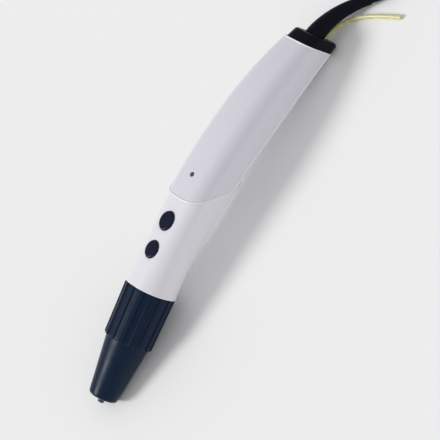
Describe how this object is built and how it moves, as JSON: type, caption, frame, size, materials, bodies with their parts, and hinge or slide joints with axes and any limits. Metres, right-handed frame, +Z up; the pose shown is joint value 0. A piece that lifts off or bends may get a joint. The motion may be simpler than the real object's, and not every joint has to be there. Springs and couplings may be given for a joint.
{
  "type": "three d pen",
  "caption": "Slim curved handheld pen that melts and feeds plastic filament through a heated nozzle, with two thumb buttons and a power cable.",
  "frame": {"origin": "centre of the pen's footprint on the table, without its cable and free filament", "axes": "+Z up from the table, +X along the pen from the nozzle to the rear cap, -Y the side that the cable and filament lie on"},
  "size_m": [0.3015, 0.0389, 0.0282],
  "materials": {
    "shell_white": "satin moulded ABS, slightly lavender white",
    "lid_grey": "satin moulded ABS, pale lavender grey",
    "tip_navy": "dark navy satin plastic",
    "cap_dark": "near-black satin plastic",
    "button_navy": "smooth dark navy keys",
    "switch_black": "black moulded plastic",
    "board_green": "solder-resist green board",
    "chip_black": "moulded chip packages",
    "lens_dark": "smoked light lens, unlit",
    "clear_guide": "clear acrylic rod",
    "emitter": "light-emitting diode package",
    "nozzle_ceramic": null,
    "tube_steel": "drawn stainless tube",
    "heater_ceramic": null,
    "thermistor_glass": "glass bead",
    "ptfe": "milky PTFE",
    "holder_black": "glass-filled nylon",
    "filament": "translucent pale yellow thermoplastic",
    "motor_steel": "plated drawn steel can",
    "magnet": "bonded ferrite",
    "rotor_steel": "steel",
    "gearbox_brass": "sintered bronze ring",
    "screw_brass": "machined brass",
    "bush_brass": "sintered bronze bush",
    "lever_acetal": "white acetal",
    "screw_steel": "zinc-plated steel",
    "spring_steel": "spring steel strip",
    "plug_metal": "nickel-plated",
    "plug_black": "black PVC moulding",
    "cable_black": "black PVC jacket",
    "tie_black": "black strap",
    "tongue_white": "white contact carrier"
  },
  "bodies": {
    "pen": {"lower_housing": "shell_white", "top_cover": "lid_grey", "tip_cover": "tip_navy", "rear_cap": "cap_dark", "housing_screws": "screw_steel", "switch_bases": "switch_black", "control_board": "board_green", "board_chips": "chip_black", "light_lens": "lens_dark", "light_guide": "clear_guide", "light_emitter": "emitter", "nozzle": "nozzle_ceramic", "melt_barrel": "tube_steel", "heater_tube": "heater_ceramic", "thermistor": "thermistor_glass", "insulator_sleeve": "ptfe", "hot_end_holder": "holder_black", "feed_guide": "ptfe", "inlet_guide": "ptfe", "loaded_filament": "filament", "motor_can": "motor_steel", "motor_magnets": "magnet", "motor_end": "switch_black", "ring_gear": "gearbox_brass", "front_bush": "bush_brass", "lever_pin": "screw_steel", "pressure_spring": "spring_steel", "feeder_frame": "holder_black", "motor_clamp": "holder_black", "power_jack": "switch_black", "jack_board": "board_green", "plug_barrel": "plug_metal", "plug_body": "plug_black", "plug_boot": "plug_black", "power_cable": "cable_black", "cable_hank": "cable_black", "cable_tie": "tie_black", "usb_body": "plug_black", "usb_shell": "plug_metal", "usb_tongue": "tongue_white", "filament_strand": "filament"},
    "rear_button": {"rear_button": "button_navy", "rear_switch_plunger": "switch_black"},
    "front_button": {"front_button": "button_navy", "front_switch_plunger": "switch_black"},
    "rotor": {"motor_rotor": "rotor_steel"},
    "output": {"planet_carrier": "rotor_steel", "feed_screw": "screw_brass"},
    "planet_1": {"planet_gear_1": "screw_brass"},
    "planet_2": {"planet_gear_2": "screw_brass"},
    "planet_3": {"planet_gear_3": "screw_brass"},
    "lever": {"pressure_lever": "lever_acetal"},
    "idler": {"idler_roller": "rotor_steel"}
  },
  "joints": [
    {"name": "rear_button_press", "type": "slide", "parent": "pen", "child": "rear_button", "axis": [0.0783, 0, -0.9969], "range_m": [0, 0.0004], "stiffness_N_per_m": 900, "springref_m": -0.0006},
    {"name": "front_button_press", "type": "slide", "parent": "pen", "child": "front_button", "axis": [0.0783, 0, -0.9969], "range_m": [0, 0.0004], "stiffness_N_per_m": 900, "springref_m": -0.0006},
    {"name": "output_spin", "type": "hinge", "parent": "pen", "child": "output", "pos_m": [0.02542, 0, 0.02054], "axis": [0.9926, 0, -0.1214], "continuous": true},
    {"name": "motor_spin", "type": "hinge", "parent": "pen", "child": "rotor", "pos_m": [0.04487, 0, 0.01816], "axis": [0.9926, 0, -0.1214], "continuous": true},
    {"name": "planet_1_spin", "type": "hinge", "parent": "output", "child": "planet_1", "pos_m": [0.04135, 0, 0.02071], "axis": [0.9926, 0, -0.1214], "continuous": true},
    {"name": "planet_2_spin", "type": "hinge", "parent": "output", "child": "planet_2", "pos_m": [0.04097, 0.00182, 0.01758], "axis": [0.9926, 0, -0.1214], "continuous": true},
    {"name": "planet_3_spin", "type": "hinge", "parent": "output", "child": "planet_3", "pos_m": [0.04097, -0.00182, 0.01758], "axis": [0.9926, 0, -0.1214], "continuous": true},
    {"name": "lever_tilt", "type": "hinge", "parent": "pen", "child": "lever", "pos_m": [0.02286, 0, 0.01279], "axis": [0, 1, 0], "range_deg": [0, 3], "stiffness_Nm_per_rad": 0.05, "springref_deg": -5.73, "deforming": ["pressure_spring"]},
    {"name": "idler_spin", "type": "hinge", "parent": "lever", "child": "idler", "pos_m": [0.02845, 0, 0.01241], "axis": [0, 1, 0], "continuous": true}
  ],
  "couplings": [
    {"joint": "motor_spin", "follows": "output_spin", "ratio": 3.5},
    {"joint": "planet_1_spin", "follows": "output_spin", "ratio": -3.3333},
    {"joint": "planet_2_spin", "follows": "output_spin", "ratio": -3.3333},
    {"joint": "planet_3_spin", "follows": "output_spin", "ratio": -3.3333},
    {"joint": "idler_spin", "follows": "output_spin", "ratio": 1.1072}
  ]
}
